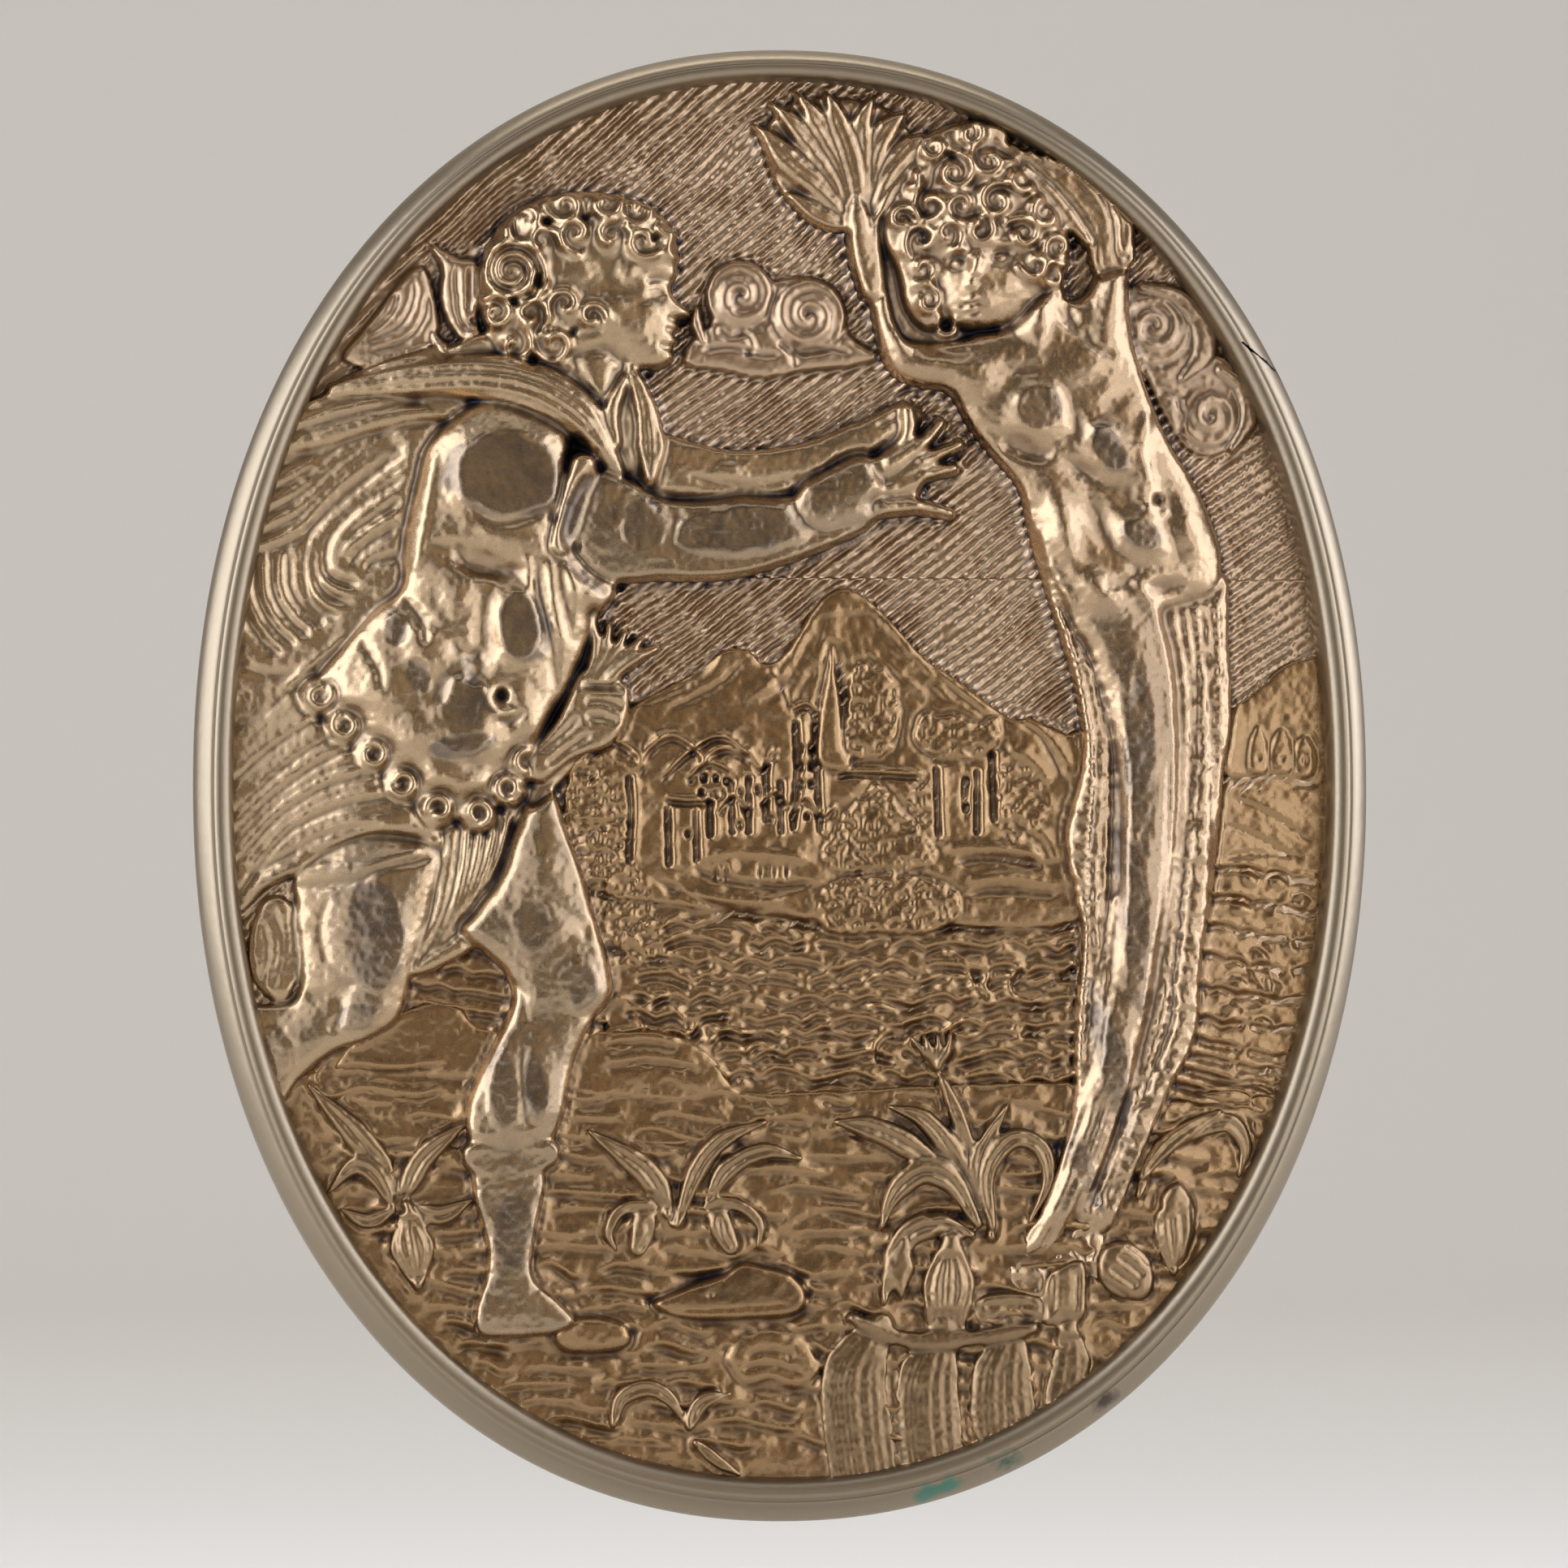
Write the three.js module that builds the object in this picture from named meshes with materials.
// Oval relief plaque: one casting in gilt bronze with a raised rim, a sunk field and, in low
// relief, a youth in cuirass and cloak who runs after a nymph turning into a tree.
// Millimetres, +Z up. The back is flat in the plane y = 0 and the relief faces -Y. The origin is
// the middle of the back, where the plaque is fixed.
import * as THREE from 'three';

// ---------------------------------------------------------------- driving dimensions
const WIDTH = 80;
const HEIGHT = 100;
const OVAL = 2.13; // exponent of the outline: 2 is an ellipse, more is fuller at the shoulders
const FIELD = 1.8; // thickness of the casting behind the sunk field
const RIM_SECTORS = 144;
const GRID = 1.22; // spacing of the relief's grid
const EDGE = 0.6 * GRID; // half width over which a raised form's edge falls away

// Section of the rim, from the back edge inwards: [distance in from the outline, height over the back]
const RIM = [[0, 0], [0, 2.5], [0.55, 3.5], [1.35, 4.0], [2.55, 3.7], [2.95, 1.75]];
const RIM_TOP = 0.78; // the rim is narrower at the top of the oval
const RIM_FOOT = 1.12; // and wider at its foot

// Heights of the relief over the field
const CLOUD = 0.7;
const HILL = 0.55;
const TOWN = 0.8;
const BANK = 0.65;
const LEAF = 1.35;
const CLOAK = 1.35;
const BODY = 3.05;

// ---------------------------------------------------------------- outline and rim
function outline(angle) {
  const power = 2 / OVAL;
  const c = Math.cos(angle);
  const s = Math.sin(angle);
  return new THREE.Vector2(
    (WIDTH / 2) * Math.sign(c) * Math.abs(c) ** power,
    (HEIGHT / 2) * Math.sign(s) * Math.abs(s) ** power,
  );
}

function inset(angle, distance) {
  const step = 1e-3;
  const tangent = outline(angle + step).sub(outline(angle - step)).normalize();
  const height = Math.sin(angle);
  const share = height > 0 ? 1 + (RIM_TOP - 1) * height ** 2 : 1 + (RIM_FOOT - 1) * height ** 2;
  return outline(angle).add(new THREE.Vector2(-tangent.y, tangent.x).multiplyScalar(distance * share));
}

function angles(count) {
  return Array.from({ length: count }, (_, k) => (2 * Math.PI * k) / count);
}

// The sunk field is a web of rings drawn in from the rim. Each ring holds as many points as its
// length needs at the grid's spacing.
const field = [];
const rings = [];
const INNER = RIM[RIM.length - 1][0];
const MEAN_RADIUS = (WIDTH + HEIGHT) / 4 - INNER;
const RING_COUNT = Math.round(MEAN_RADIUS / GRID);
for (let k = 0; k < RING_COUNT; k += 1) {
  const share = 1 - k / RING_COUNT;
  const wanted = Math.round((2 * Math.PI * MEAN_RADIUS * share) / GRID);
  const count = k === 0 ? RIM_SECTORS : Math.max(8, wanted);
  rings.push(angles(count).map((angle) => {
    const place = inset(angle, INNER).multiplyScalar(share);
    const point = { x: place.x, z: place.y, rise: 0 };
    field.push(point);
    return point;
  }));
}
const middle = { x: 0, z: 0, rise: 0 };
field.push(middle);

// ---------------------------------------------------------------- modelling tools
function smooth(points, closed) {
  if (points.length < 3) return points.map(([x, z]) => new THREE.Vector2(x, z));
  const spots = points.map(([x, z]) => new THREE.Vector3(x, 0, z));
  const curve = new THREE.CatmullRomCurve3(spots, closed, 'catmullrom', 0.5);
  return curve.getPoints(points.length * 5).map((p) => new THREE.Vector2(p.x, p.z));
}

function toSegment(point, a, b) {
  const along = b.clone().sub(a);
  const share = ((point.x - a.x) * along.x + (point.z - a.y) * along.y) / Math.max(along.lengthSq(), 1e-9);
  const t = THREE.MathUtils.clamp(share, 0, 1);
  return { t, distance: Math.hypot(point.x - a.x - t * along.x, point.z - a.y - t * along.y) };
}

function isInside(point, loop) {
  let inside = false;
  for (let k = 0; k < loop.length; k += 1) {
    const a = loop[k];
    const b = loop[(k + 1) % loop.length];
    const crosses = a.y > point.z !== b.y > point.z;
    if (crosses && point.x < ((b.x - a.x) * (point.z - a.y)) / (b.y - a.y) + a.x) inside = !inside;
  }
  return inside;
}

// Lays a height over what is there; depth is the distance inside the shape's border.
function cover(point, depth, height) {
  const share = THREE.MathUtils.smoothstep(depth, -EDGE, EDGE);
  point.rise = point.rise * (1 - share) + height * share;
}

// A raised shape with a rounded border: full height inside, lower by crown at its border.
function form(points, top, edge, crown) {
  const loop = smooth(points, true);
  for (const point of field) {
    let distance = Infinity;
    for (let k = 0; k < loop.length; k += 1) {
      distance = Math.min(distance, toSegment(point, loop[k], loop[(k + 1) % loop.length]).distance);
    }
    const depth = isInside(point, loop) ? distance : -distance;
    const t = 1 - THREE.MathUtils.clamp(depth / edge, 0, 1);
    cover(point, depth, top - crown * (1 - Math.sqrt(1 - t * t)));
  }
}

function listed(values, share) {
  if (!Array.isArray(values)) return values;
  const place = share * (values.length - 1);
  const first = Math.min(Math.floor(place), values.length - 2);
  return THREE.MathUtils.lerp(values[first], values[first + 1], place - first);
}

// A round bar along a path, such as an arm or a leaf; radii and tops are spread along it.
function limb(points, radii, tops, crown) {
  const path = smooth(points, false);
  const last = path.length - 1;
  for (const point of field) {
    let best = { depth: -Infinity };
    for (let k = 0; k < last; k += 1) {
      const { t, distance } = toSegment(point, path[k], path[k + 1]);
      const share = (k + t) / last;
      const radius = listed(radii, share);
      if (radius - distance > best.depth) best = { depth: radius - distance, radius, distance, share };
    }
    const ratio = Math.min(best.distance / best.radius, 1);
    cover(point, best.depth, listed(tops, best.share) - crown * (1 - Math.sqrt(1 - ratio * ratio)));
  }
}

// A soft oval swelling on what is there, or a hollow where the height is negative.
function swell(x, z, halfWidth, halfHeight, turn, height) {
  const angle = THREE.MathUtils.degToRad(turn);
  for (const point of field) {
    const dx = point.x - x;
    const dz = point.z - z;
    const across = (dx * Math.cos(angle) + dz * Math.sin(angle)) / halfWidth;
    const up = (dz * Math.cos(angle) - dx * Math.sin(angle)) / halfHeight;
    const share = Math.max(0, 1 - across * across - up * up);
    point.rise += height * share * share;
  }
}

// ---------------------------------------------------------------- the relief, from back to front

// Clouds: a flame-shaped one and two banks of scrolls.
function clouds() {
  // flame-shaped cloud, upper left
  form([
    [-29.5, 28.8], [-27.5, 32.6], [-24.3, 36.9], [-22.4, 34], [-20.6, 31], [-19.5, 29], [-22, 27.9],
    [-26, 27.9]
  ], CLOUD, 1.6, 0.45);
  // cloud bank between the heads
  form([
    [-6.8, 28.8], [-5.6, 32], [-4.4, 35], [-2.6, 35.6], [-0.8, 34.4], [1.2, 34.5], [3.4, 33.8],
    [5.2, 31.6], [6.3, 29.2], [4.5, 28.3], [1.5, 28.2], [-1.5, 27.7], [-4.2, 28.1]
  ], CLOUD, 1.2, 0.4);
  // cloud scrolls, right
  form([
    [23, 33.2], [25.3, 34], [27.6, 32.6], [29.6, 30.8], [31.4, 28.6], [32.2, 26], [31.4, 23.6],
    [29.2, 22.6], [27.2, 23.4], [26, 26], [24.4, 29]
  ], CLOUD, 1.2, 0.4);
  swell(-3, 33.3, 2.2, 2.2, 0, 0.45);
  swell(1.8, 32, 2.3, 2.3, 0, 0.45);
  swell(25.2, 31, 2.6, 2.6, 0, 0.4);
  swell(29.4, 25, 2.2, 2.2, 0, 0.4);
}

// Far shore: mountain, town, hill and a bush by the water.
function landscape() {
  // mountain and the shoulder before it
  form([
    [-14.5, 3], [-13.6, 6], [-9.5, 6.4], [-6.5, 8], [-4.2, 9.2], [-2, 9.3], [-0.8, 8.8], [0.3, 9.8],
    [1.6, 12.1], [3.3, 13.5], [5, 13.2], [7.2, 11.3], [9, 8.6], [12, 6.8], [15, 4.6], [18, 4],
    [21, 3.6], [21, -5.5], [-14.5, -5.5]
  ], HILL, 3.5, 0.35);
  // town on the far shore
  form([
    [-12, 1.5], [-9, 2.6], [-6, 3.4], [-3, 2.6], [-1, 2.8], [0.4, 4.4], [2.4, 4.7], [4.4, 4], [5, 2],
    [9, 1.5], [14, 1.8], [19.5, -0.5], [19.5, -5.2], [-12, -5.6]
  ], TOWN, 0.8, 0.35);
  // hill behind the tree
  form([[30.5, 5], [33.2, 7.2], [35, 8.2], [36.8, 8], [37.2, 4], [37.2, -4], [30.5, -4]], HILL, 1.2, 0.35);
  // bush on the shore
  form([
    [2.6, -8.6], [4.4, -7], [8.4, -6.7], [11.3, -7.4], [11.6, -8.6], [7.5, -9.4], [3.6, -9.3]
  ], TOWN, 0.7, 0.4);
}

// Near shore.
function ground() {
  // smooth bank left of the water
  form([
    [-20, -15.5], [-14, -14.8], [-11.2, -15.4], [-8.6, -16.8], [-5.4, -18], [-4, -19.9], [-3.8, -23.5],
    [-20, -24]
  ], BANK, 1.2, 0.4);
  // ground in front
  form([
    [-34, -20.6], [-22, -19], [-8, -22], [0, -21.4], [8, -20.8], [20, -20.4], [26, -22], [34, -20.5],
    [36, -34], [20, -47], [0, -50], [-20, -47], [-34, -34]
  ], BANK, 2.0, 0.4);
}

// Pursuer: cloak and skirt blown back, far leg.
function pursuerCloth() {
  // cloak blown back to the rim
  form([
    [-36, 24.5], [-31, 26.4], [-25, 25.5], [-22, 23], [-24.5, 18], [-25.8, 13.6], [-29, 10.6],
    [-32.2, 7.6], [-34.9, 4.9], [-38, 1.6], [-38.4, 10], [-37.4, 17]
  ], CLOAK, 2.2, 0.5);
  // skirt blown back
  form([
    [-38.4, 2.4], [-35.6, 4.4], [-32.8, 6.3], [-30, 4.2], [-27.4, 2], [-24.6, -0.6], [-22.8, -3],
    [-23.4, -4.8], [-25.6, -4.8], [-28.4, -5.9], [-31.4, -6.2], [-34.3, -6.4], [-37, -8.6],
    [-38.8, -4]
  ], CLOAK + 0.35, 1.6, 0.6);
  // rolled end of the cloth
  form([
    [-35.4, -8.2], [-33.8, -7.6], [-32.7, -9.4], [-32.8, -13], [-33.6, -14.8], [-35, -14.6],
    [-35.9, -12]
  ], CLOAK - 0.15, 0.9, 0.5);
  // far thigh, knee and shin
  form([
    [-33, -6], [-33.1, -8.6], [-32.8, -12], [-33.4, -14.7], [-36.6, -15.1], [-36.4, -18],
    [-34.2, -21.6], [-32.6, -20], [-30.4, -18.3], [-28.2, -17.5], [-26.2, -16.2], [-25.2, -13.6],
    [-24.3, -10.6], [-23.6, -7.6], [-23.3, -4.6], [-28, -3.4]
  ], BODY - 1.05, 3.2, 1.1);
  // muscle of the thigh
  swell(-28.4, -10.5, 3.4, 5.5, 8, 0.45);
  // hollow under the knee
  swell(-30.6, -16.4, 3.4, 1.6, 28, -0.35);
  // drapery between the legs
  form([
    [-22.6, -2.4], [-18.4, -1.2], [-17.4, -3.4], [-19.2, -7.4], [-21.8, -10.1], [-24.6, -12.9],
    [-25.2, -12.2], [-24, -9], [-23.3, -5]
  ], CLOAK, 1.2, 0.5);
}

// Pursuer: near leg in its boot.
function pursuerLeg() {
  // near leg from hip to sole
  form([
    [-17, -0.4], [-18.3, -3.2], [-19.3, -6.2], [-20.9, -8.6], [-21.9, -10], [-20.4, -11.6],
    [-19.1, -12.9], [-18.6, -14.6], [-19.6, -17], [-21, -19.6], [-21.8, -22.2], [-21.5, -25],
    [-21.2, -28], [-20.4, -31.4], [-20.5, -33.4], [-21.2, -35.6], [-20.8, -37.4], [-18, -37.6],
    [-15.2, -37.3], [-14, -36.3], [-15.1, -34.9], [-16.9, -33.2], [-16.7, -30.6], [-16.1, -27.5],
    [-15.9, -25.2], [-14.8, -22.4], [-14.1, -18.8], [-12.9, -16.2], [-11.7, -14.6], [-11.7, -12.4],
    [-12.6, -9.4], [-13.5, -6.2], [-14.6, -3.2], [-15.6, -0.4]
  ], BODY - 0.35, 3.4, 1.5);
  // thigh
  swell(-16.4, -8.5, 3.2, 6, -6, 0.5);
  // knee
  swell(-14, -13.4, 2.6, 2.4, 0, 0.45);
  // calf
  swell(-18.9, -20.6, 1.9, 4.2, 6, 0.4);
  // shin
  swell(-16.6, -20.8, 1.7, 4.2, 8, 0.35);
  // hollow of the knee
  swell(-16.8, -15.9, 2.4, 1.4, 30, -0.35);
  // boot top
  swell(-18.3, -26.8, 2.6, 1.6, 0, -0.25);
  // foot
  swell(-17.6, -36, 3.2, 1.5, 0, 0.25);
}

// Pursuer: trunk of the body in a moulded cuirass.
function pursuerTrunk() {
  // trunk in its moulded cuirass
  form([
    [-23.8, 23.4], [-25, 20], [-25.8, 16], [-26, 13.2], [-28, 11.4], [-30.3, 8.8], [-31.9, 6.6],
    [-31.4, 4.6], [-29.6, 2.8], [-27.6, 1], [-25.8, -0.9], [-23.6, -2.3], [-20.8, -2.4], [-18.8, -0.9],
    [-17.4, 1.4], [-16.4, 3.6], [-14.8, 6.4], [-13.9, 8.4], [-12.7, 11.2], [-11.6, 13.4],
    [-12.6, 16.5], [-13.4, 21.4], [-15.4, 25], [-19.4, 26.4]
  ], BODY, 3.4, 1.35);
  // shoulder and chest
  swell(-18.7, 21.4, 5, 4.6, -10, 0.55);
  // flank
  swell(-18.3, 10.6, 2.2, 3.4, 8, 0.4);
  // belly
  swell(-21.6, 4.4, 2.8, 3.2, 0, 0.45);
  // hollow under the ribs
  swell(-20.2, 13.4, 5.5, 1.8, -24, -0.35);
  // ribs
  swell(-23.8, 9.4, 1.6, 3.4, 20, 0.3);
  // hip
  swell(-25.5, 5.6, 2, 3, 35, 0.3);
  // hollow beside the ribs
  swell(-20.9, 8.6, 1.2, 4.5, -12, -0.25);
}

// Pursuer: far arm, head, near arm with open hand, gathered cloak and sash.
function pursuerArms() {
  // far arm
  limb([
    [-9, 21.6], [-4, 20.9], [1.2, 21.6], [5.4, 23.4], [8.4, 25]
  ], [2.2, 1.9, 1.7, 1.4, 1.3], [1.5, 1.5, 1.4, 1.5, 1.5], 0.8);
  // neck
  limb([[-13.9, 29.4], [-12.4, 26.2], [-11.6, 23.6]], [3, 2.9, 3.2], 1.9, 0.9);
  // head with its hair
  form([
    [-18, 28.6], [-20.4, 31], [-20.8, 34.6], [-19.4, 37.8], [-16.4, 39.8], [-12.4, 40.2], [-8.4, 38.8],
    [-6.3, 36.2], [-6.6, 33.9], [-7.2, 31.9], [-6.9, 30], [-8.4, 28.3], [-10.6, 28], [-13.4, 28.6],
    [-15.6, 27.8]
  ], BODY - 0.55, 3.6, 1.3);
  // near arm
  limb([
    [-13.4, 17.6], [-9.4, 16.9], [-4, 16.8], [1, 18], [4.4, 19.6]
  ], [3.5, 2.9, 2.75, 2.1, 1.6], [3.2, 2.9, 2.7, 2.5, 2.5], 1.35);
  // near hand
  limb([[2.6, 19], [5.4, 20], [8, 20.6]], [1.9, 2.2, 1.6], [2.5, 2.5, 2.2], 0.8);
  // fingers
  limb([[6.6, 18.8], [9, 18.9], [11.2, 18.5]], [0.75, 0.62, 0.45], [2.1, 1.9, 1.7], 0.6);
  limb([[7.2, 21.6], [9.2, 22.9], [10.4, 24]], [0.7, 0.6, 0.5], [2.2, 2, 1.8], 0.6);
  limb([[7.4, 20.6], [9.6, 21.2], [11.3, 21.3]], [0.7, 0.6, 0.5], [2.2, 2, 1.8], 0.6);
  // cloak gathered round the neck
  limb([
    [-30.4, 27.4], [-24.8, 28.6], [-18.8, 27.9], [-14, 24.9], [-11.4, 21.2]
  ], [0.9, 1.5, 1.8, 1.5, 0.8], [1.6, 2.2, 3.1, 3.3, 3.0], 0.9);
  limb([[-9.6, 27.2], [-9.2, 24.4], [-9, 21.4]], [0.8, 1.2, 0.9], [1.9, 2.1, 2], 0.7);
  // sash knot with its fringe
  form([
    [-13.8, 7.4], [-11.8, 7.2], [-10.4, 6.2], [-10.8, 3.6], [-12.2, 2.2], [-14.4, 1.6], [-16.6, 0],
    [-17.4, 1.6], [-15.4, 4.6]
  ], 1.6, 0.9, 0.6);
}

// Nymph: her legs already stand in the bark of a tree.
function nymph() {
  // trunk of the tree, down to its roots
  form([
    [18.8, 12], [19.7, 7], [20.5, 3], [19.9, 0], [19.1, -3.6], [19.8, -8], [20.3, -10.5], [19.8, -15],
    [19.7, -19.5], [19.6, -24], [18.4, -28.4], [16.6, -31.2], [15, -33.5], [16.6, -37.4],
    [22.8, -37.2], [24.8, -34.6], [22.2, -31.4], [22.6, -28.4], [24.2, -24.9], [25.8, -21.6],
    [28.3, -17.4], [28.7, -12], [29.5, -7.6], [30.2, 0], [30.8, 4.6], [30.4, 10], [30.3, 14]
  ], 1.5, 1.6, 0.8);
  // body, raised arm, neck and other arm in one outline
  form([
    [4.2, 39.2], [5, 36], [5.8, 32.4], [6.5, 29.2], [7.6, 27.6], [9.4, 26.9], [11.2, 26.5],
    [12.6, 24.2], [14.2, 22.2], [15.6, 20.6], [16.6, 18.6], [17.7, 15.2], [19.3, 11.8], [21.2, 8],
    [22.2, 4.5], [22.8, 1], [22.9, -3], [22.6, -9], [21.6, -16], [19.9, -22], [17.6, -28.4],
    [16, -31.4], [18.4, -31.6], [21, -27.6], [23.3, -21.6], [25, -16], [26.2, -9], [26.8, -2],
    [26.9, 4], [26.6, 8.5], [25.9, 11.6], [27.4, 12.4], [29.4, 13.2], [30.1, 15.4], [29.2, 18.6],
    [28, 21], [26.4, 23.6], [25.2, 26.4], [24.4, 28.8], [23.9, 31], [23.7, 34], [23.8, 36.8],
    [21.4, 37.2], [21.1, 34.8], [20.4, 33.4], [19.4, 33.2], [18.9, 34.8], [15.4, 34.6], [15.2, 32.6],
    [14.6, 31.1], [12.4, 30.8], [10, 30.2], [8.9, 31.2], [8, 33.6], [7, 36.6], [6.4, 39.6]
  ], BODY - 0.75, 2.8, 1.2);
  // breast
  swell(17.3, 25.4, 2.9, 2.7, 0, 0.5);
  // ribs
  swell(22, 22.6, 2.6, 3.2, 30, 0.4);
  // belly
  swell(24.6, 17, 3.2, 2.4, -35, 0.4);
  // flank
  swell(19.2, 17.4, 1.8, 4.4, 0, 0.3);
  // hollow of the waist
  swell(22.4, 19.6, 1.2, 3.4, 8, -0.25);
  // hollow under the ribs
  swell(20.8, 21.6, 4, 1.2, -24, -0.25);
  // thigh in the bark
  swell(24.2, 6, 1.9, 9, 4, 0.35);
  // shin in the bark
  swell(23.6, -10, 1.8, 9, 8, 0.3);
  // head with its hair
  form([
    [10, 33.6], [10.2, 36.4], [9.6, 38.6], [10.4, 41.6], [12.4, 43.3], [15.2, 43], [17.6, 41.2],
    [19.4, 38.4], [19.4, 35], [17.4, 33], [15, 31.4], [12.6, 31], [10.7, 31.9]
  ], BODY - 0.65, 3, 1.2);
}

// Leaves that her fingers turn into. Each has its tip, the point it springs from and its half width.
function fingerLeaves() {
  const left = [
    [[-1.4, 43.8], [4.6, 40.2], 1.2], [[0.7, 46.4], [4.9, 40.6], 1.2], [[3.2, 47.3], [5.2, 41], 1.15],
    [[5.9, 46.2], [5.4, 41], 1.1], [[8.6, 45.4], [5.8, 40.6], 1.1], [[-0.4, 39.8], [4.2, 39.2], 1.1],
    [[0.1, 36.4], [4.2, 38.4], 1.2],
  ];
  const right = [
    [[14.8, 46.2], [18.6, 41], 1.1], [[17.4, 46.2], [19.4, 41.4], 1.1], [[20.4, 44.6], [20.2, 40.8], 1.1],
    [[24.4, 42.2], [21, 39.8], 1.1], [[26.6, 38.8], [22, 38.4], 1.2], [[26, 34.6], [22.6, 37.2], 1.1],
    [[23.4, 33.6], [22.4, 37.2], 0.9],
  ];
  for (const [tip, base, half] of [...left, ...right]) {
    const mid = [(tip[0] + base[0]) / 2, (tip[1] + base[1]) / 2];
    limb([base, mid, tip], [0.5, half, 0.35], [LEAF, LEAF + 0.15, LEAF - 0.45], 0.5);
  }
}

// Stones, stump and two broad leaves at the edge of the ground.
function stones() {
  // stone before the foot
  form([
    [-15.6, -37.2], [-14.4, -36.2], [-12.4, -36.1], [-10.6, -36.8], [-10.6, -38], [-12.6, -38.5],
    [-15, -38.3]
  ], 1.2, 0.9, 0.5);
  // flat stone
  form([
    [-8.9, -35.2], [-6.5, -34.1], [-4.2, -33.3], [-2.8, -32.5], [-0.8, -32.8], [0.6, -33.3],
    [1.5, -34.6], [0.8, -35.9], [-2, -36.2], [-6.6, -36.2]
  ], 1.3, 1, 0.5);
  // low mound
  form([
    [-3.9, -38.9], [-3, -37.6], [-1.4, -37], [0.2, -37.1], [1.7, -38], [2.4, -39.8], [0.8, -40.9],
    [-1, -40.4], [-2.6, -40.7]
  ], 0.9, 0.9, 0.35);
  // stump
  form([
    [17.5, -36.8], [17.5, -34], [18.6, -32.6], [20.5, -32.2], [20.8, -34.2], [20.4, -36.6]
  ], 1.5, 0.7, 0.6);
  // ribbed fan leaf
  form([
    [21.6, -31.4], [23.4, -30.9], [25.1, -32.2], [25.4, -34.2], [24.4, -35.2], [22.4, -34.8],
    [21.2, -33.4]
  ], 1.6, 1.1, 0.7);
  // block between the roots
  form([[13.2, -34.7], [17.3, -34.6], [17.3, -36.8], [13.2, -36.9]], 1.1, 0.5, 0.4);
  // curled leaf at the rim
  form([
    [25.1, -29.8], [25.8, -27.6], [27.1, -26.9], [28.2, -28.4], [28.3, -30.4], [27.6, -32.4],
    [26.6, -33.6], [25.6, -32.2]
  ], 1.5, 1.2, 0.7);
}

// Plants of the near shore. Each leaf has its middle line and its half widths along it.
function plants() {
  const tuft = [
    [[[-26.2, -28.6], [-28.2, -24.8], [-32.2, -20.4]], [0.5, 1.3, 0.4]],
    [[[-26, -28.6], [-24.5, -25.4], [-21.8, -23.2]], [0.5, 1, 0.5]],
    [[[-26.6, -28.4], [-27.8, -26.4], [-29.2, -25.9], [-30.6, -27.6]], [0.4, 0.8, 0.8, 0.4]],
    [[[-25.6, -28.6], [-23.4, -29.2], [-21.4, -28.4]], [0.4, 0.9, 0.4]],
    [[[-26, -29], [-25.2, -31.6], [-24.8, -34]], [0.5, 1.7, 0.5]],
  ];
  const fork = [
    [[[-7.6, -29.8], [-9.3, -26.4], [-13.3, -23.5]], [0.4, 1.3, 0.4]],
    [[[-7.2, -29.8], [-6, -26.4], [-4.1, -24.1], [-1.2, -22.9]], [0.4, 0.9, 1, 0.5]],
    [[[-5.5, -29.2], [-4, -26.3], [-1.4, -24.9], [1.2, -25.4]], [0.5, 0.9, 0.9, 0.4]],
  ];
  const lily = [
    [[[14.2, -31], [13.1, -26.6], [11.7, -22.2], [10.2, -18.8]], [0.7, 0.6, 0.5, 0.5]],
    [[[13.6, -29.6], [11.6, -25.4], [9.6, -22.8], [7.2, -21.9]], [0.4, 1, 0.9, 0.4]],
    [[[11.4, -26.8], [8.4, -24.5], [5.8, -23.3], [3.6, -22.9]], [0.5, 1.2, 1.1, 0.4]],
    [[[14, -29.6], [13.4, -25.6], [15.2, -21.8]], [0.4, 0.9, 0.4]],
    [[[14.2, -30], [13.9, -26.4], [15.6, -24.1], [17.5, -24.7], [18, -27], [16.7, -29.8]],
      [0.4, 0.8, 0.9, 0.9, 0.7, 0.4]],
    [[[13.2, -30], [11.4, -27], [9.4, -26.3], [7.5, -27.8], [6.8, -30]], [0.4, 1, 1.2, 1.1, 0.4]],
    [[[12.8, -30.6], [10.6, -29.9], [8.6, -30.5], [7.6, -32.6], [7, -34.8]], [0.4, 0.9, 1.2, 1.2, 0.5]],
    [[[11.6, -31.4], [11.1, -34], [11, -37.2]], [0.9, 1.9, 1.5]],
  ];
  const rimLeaf = [[[[24.4, -27.2], [26.6, -24.8], [29.2, -23.4], [31.4, -23.9], [31.2, -26.4]],
    [0.5, 1.1, 1.1, 1, 0.5]]];
  const scrolls = [
    [[[-11.6, -43.2], [-11, -41.6], [-9.2, -41], [-7.6, -41.8], [-6.6, -43.3]], [0.5, 0.8, 0.9, 0.8, 0.4]],
    [[[-6.4, -43.4], [-5.6, -41.9], [-3.6, -41.3]], [0.5, 0.9, 0.6]],
  ];
  for (const [path, radii] of [...tuft, ...fork, ...lily, ...rimLeaf, ...scrolls]) {
    limb(path, radii, LEAF, 0.7);
  }
  // coiled buds
  swell(-10.6, -30.1, 1.7, 2, 0, 0.9);
  swell(-3.3, -29.2, 1.8, 1.8, 0, 0.9);
}

// Four broad leaves that hang over the rim's foot.
function hangingLeaves() {
  const paths = [
    [[6.6, -36.8], [4.9, -39.6], [4.9, -43], [5.4, -46]],
    [[10.9, -37.2], [9.9, -40], [9.8, -43], [10.2, -45.6]],
    [[15.6, -37.2], [14.8, -40], [14.6, -42.6], [14.8, -44.4]],
    [[19, -37.8], [19.4, -39.6], [19.2, -41.2]],
  ];
  for (const path of paths) limb(path, [1.2, 2.3, 2.4, 2.1], LEAF + 0.15, 0.7);
}

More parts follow.
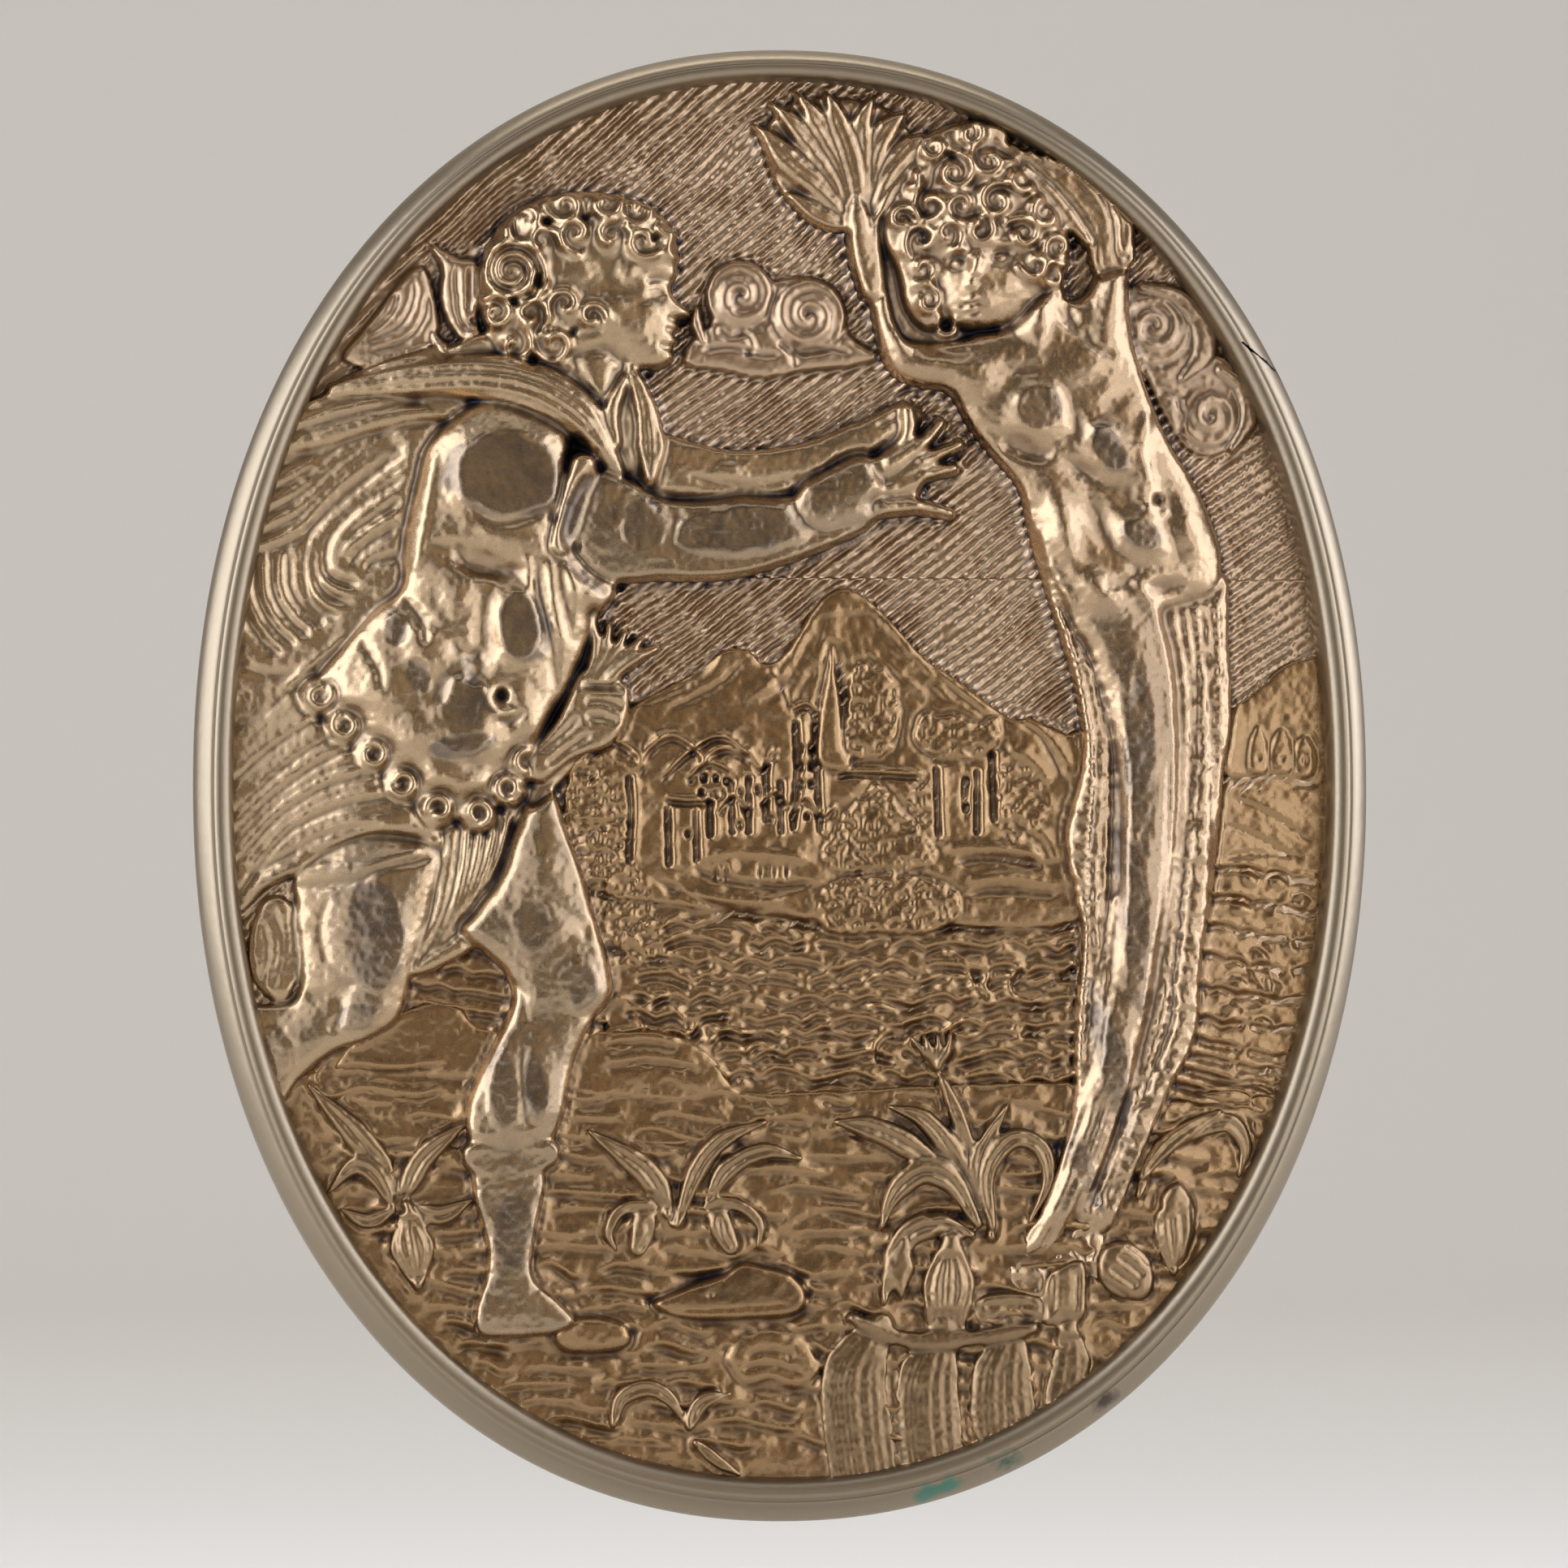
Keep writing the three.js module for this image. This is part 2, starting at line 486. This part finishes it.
clouds();
landscape();
ground();
pursuerCloth();
pursuerLeg();
pursuerTrunk();
pursuerArms();
nymph();
fingerLeaves();
stones();
plants();
hangingLeaves();

// The whole relief falls away a little towards the rim on both sides.
const FALL = 0.3;
const FALL_FROM = 26;
const FALL_TO = 35;
for (const point of field) {
  const away = THREE.MathUtils.smoothstep(Math.abs(point.x), FALL_FROM, FALL_TO);
  point.rise = Math.max(point.rise, 0) - FALL * away;
}

// ---------------------------------------------------------------- the closed solid
const positions = [];
const faces = [];

function vertex(x, z, height) {
  positions.push(x, -height, z);
  return positions.length / 3 - 1;
}

function drop(a, b) {
  return Math.abs(positions[3 * a + 1] - positions[3 * b + 1]);
}

// Joins two rings of any two lengths with a band of triangles; the second ring lies further in.
// Where the next points of both are level, the shared edge follows the relief: it takes the
// diagonal with the smaller drop.
function band(outer, inner) {
  const level = 0.5 / Math.max(outer.length, inner.length);
  let i = 0;
  let j = 0;
  while (i < outer.length || j < inner.length) {
    const ahead = (i + 1) / outer.length - (j + 1) / inner.length;
    const a = outer[i % outer.length];
    const b = outer[(i + 1) % outer.length];
    const c = inner[j % inner.length];
    const d = inner[(j + 1) % inner.length];
    const outerFirst = Math.abs(ahead) < level ? drop(b, c) <= drop(a, d) : ahead < 0;
    if (j === inner.length || (i < outer.length && outerFirst)) {
      faces.push(a, b, c);
      i += 1;
    } else {
      faces.push(a, d, c);
      j += 1;
    }
  }
}

// Closes a ring with a fan of triangles round one point.
function fanned(hub, ring, side) {
  for (let k = 0; k < ring.length; k += 1) {
    const next = ring[(k + 1) % ring.length];
    if (side > 0) faces.push(hub, ring[k], next);
    else faces.push(hub, next, ring[k]);
  }
}

const rimRings = RIM.slice(0, -1).map(([distance, height]) => angles(RIM_SECTORS).map((angle) => {
  const place = inset(angle, distance);
  return vertex(place.x, place.y, height);
}));
const fieldRings = rings.map((ring) => ring.map(({ x, z, rise }) => vertex(x, z, FIELD + rise)));
const web = [...rimRings, ...fieldRings];
for (let k = 0; k < web.length - 1; k += 1) band(web[k], web[k + 1]);
const centre = vertex(middle.x, middle.z, FIELD + middle.rise);
fanned(centre, fieldRings[fieldRings.length - 1], 1);

// The flat back is fanned from a point off its middle, so that the fixing point lies inside a face.
const BACK_HUB = { x: 3, z: -11 };
const backHub = vertex(BACK_HUB.x, BACK_HUB.z, 0);
fanned(backHub, rimRings[0], -1);

const geometry = new THREE.BufferGeometry();
geometry.setAttribute('position', new THREE.Float32BufferAttribute(positions, 3));
geometry.setIndex(faces);
geometry.computeVertexNormals();

const giltBronze = new THREE.MeshStandardMaterial({ color: '#8f7a52', roughness: 0.38, metalness: 1 });
const plaque = new THREE.Mesh(geometry, giltBronze);
plaque.name = 'plaque';

const group = new THREE.Group();
group.add(plaque);

export default group;
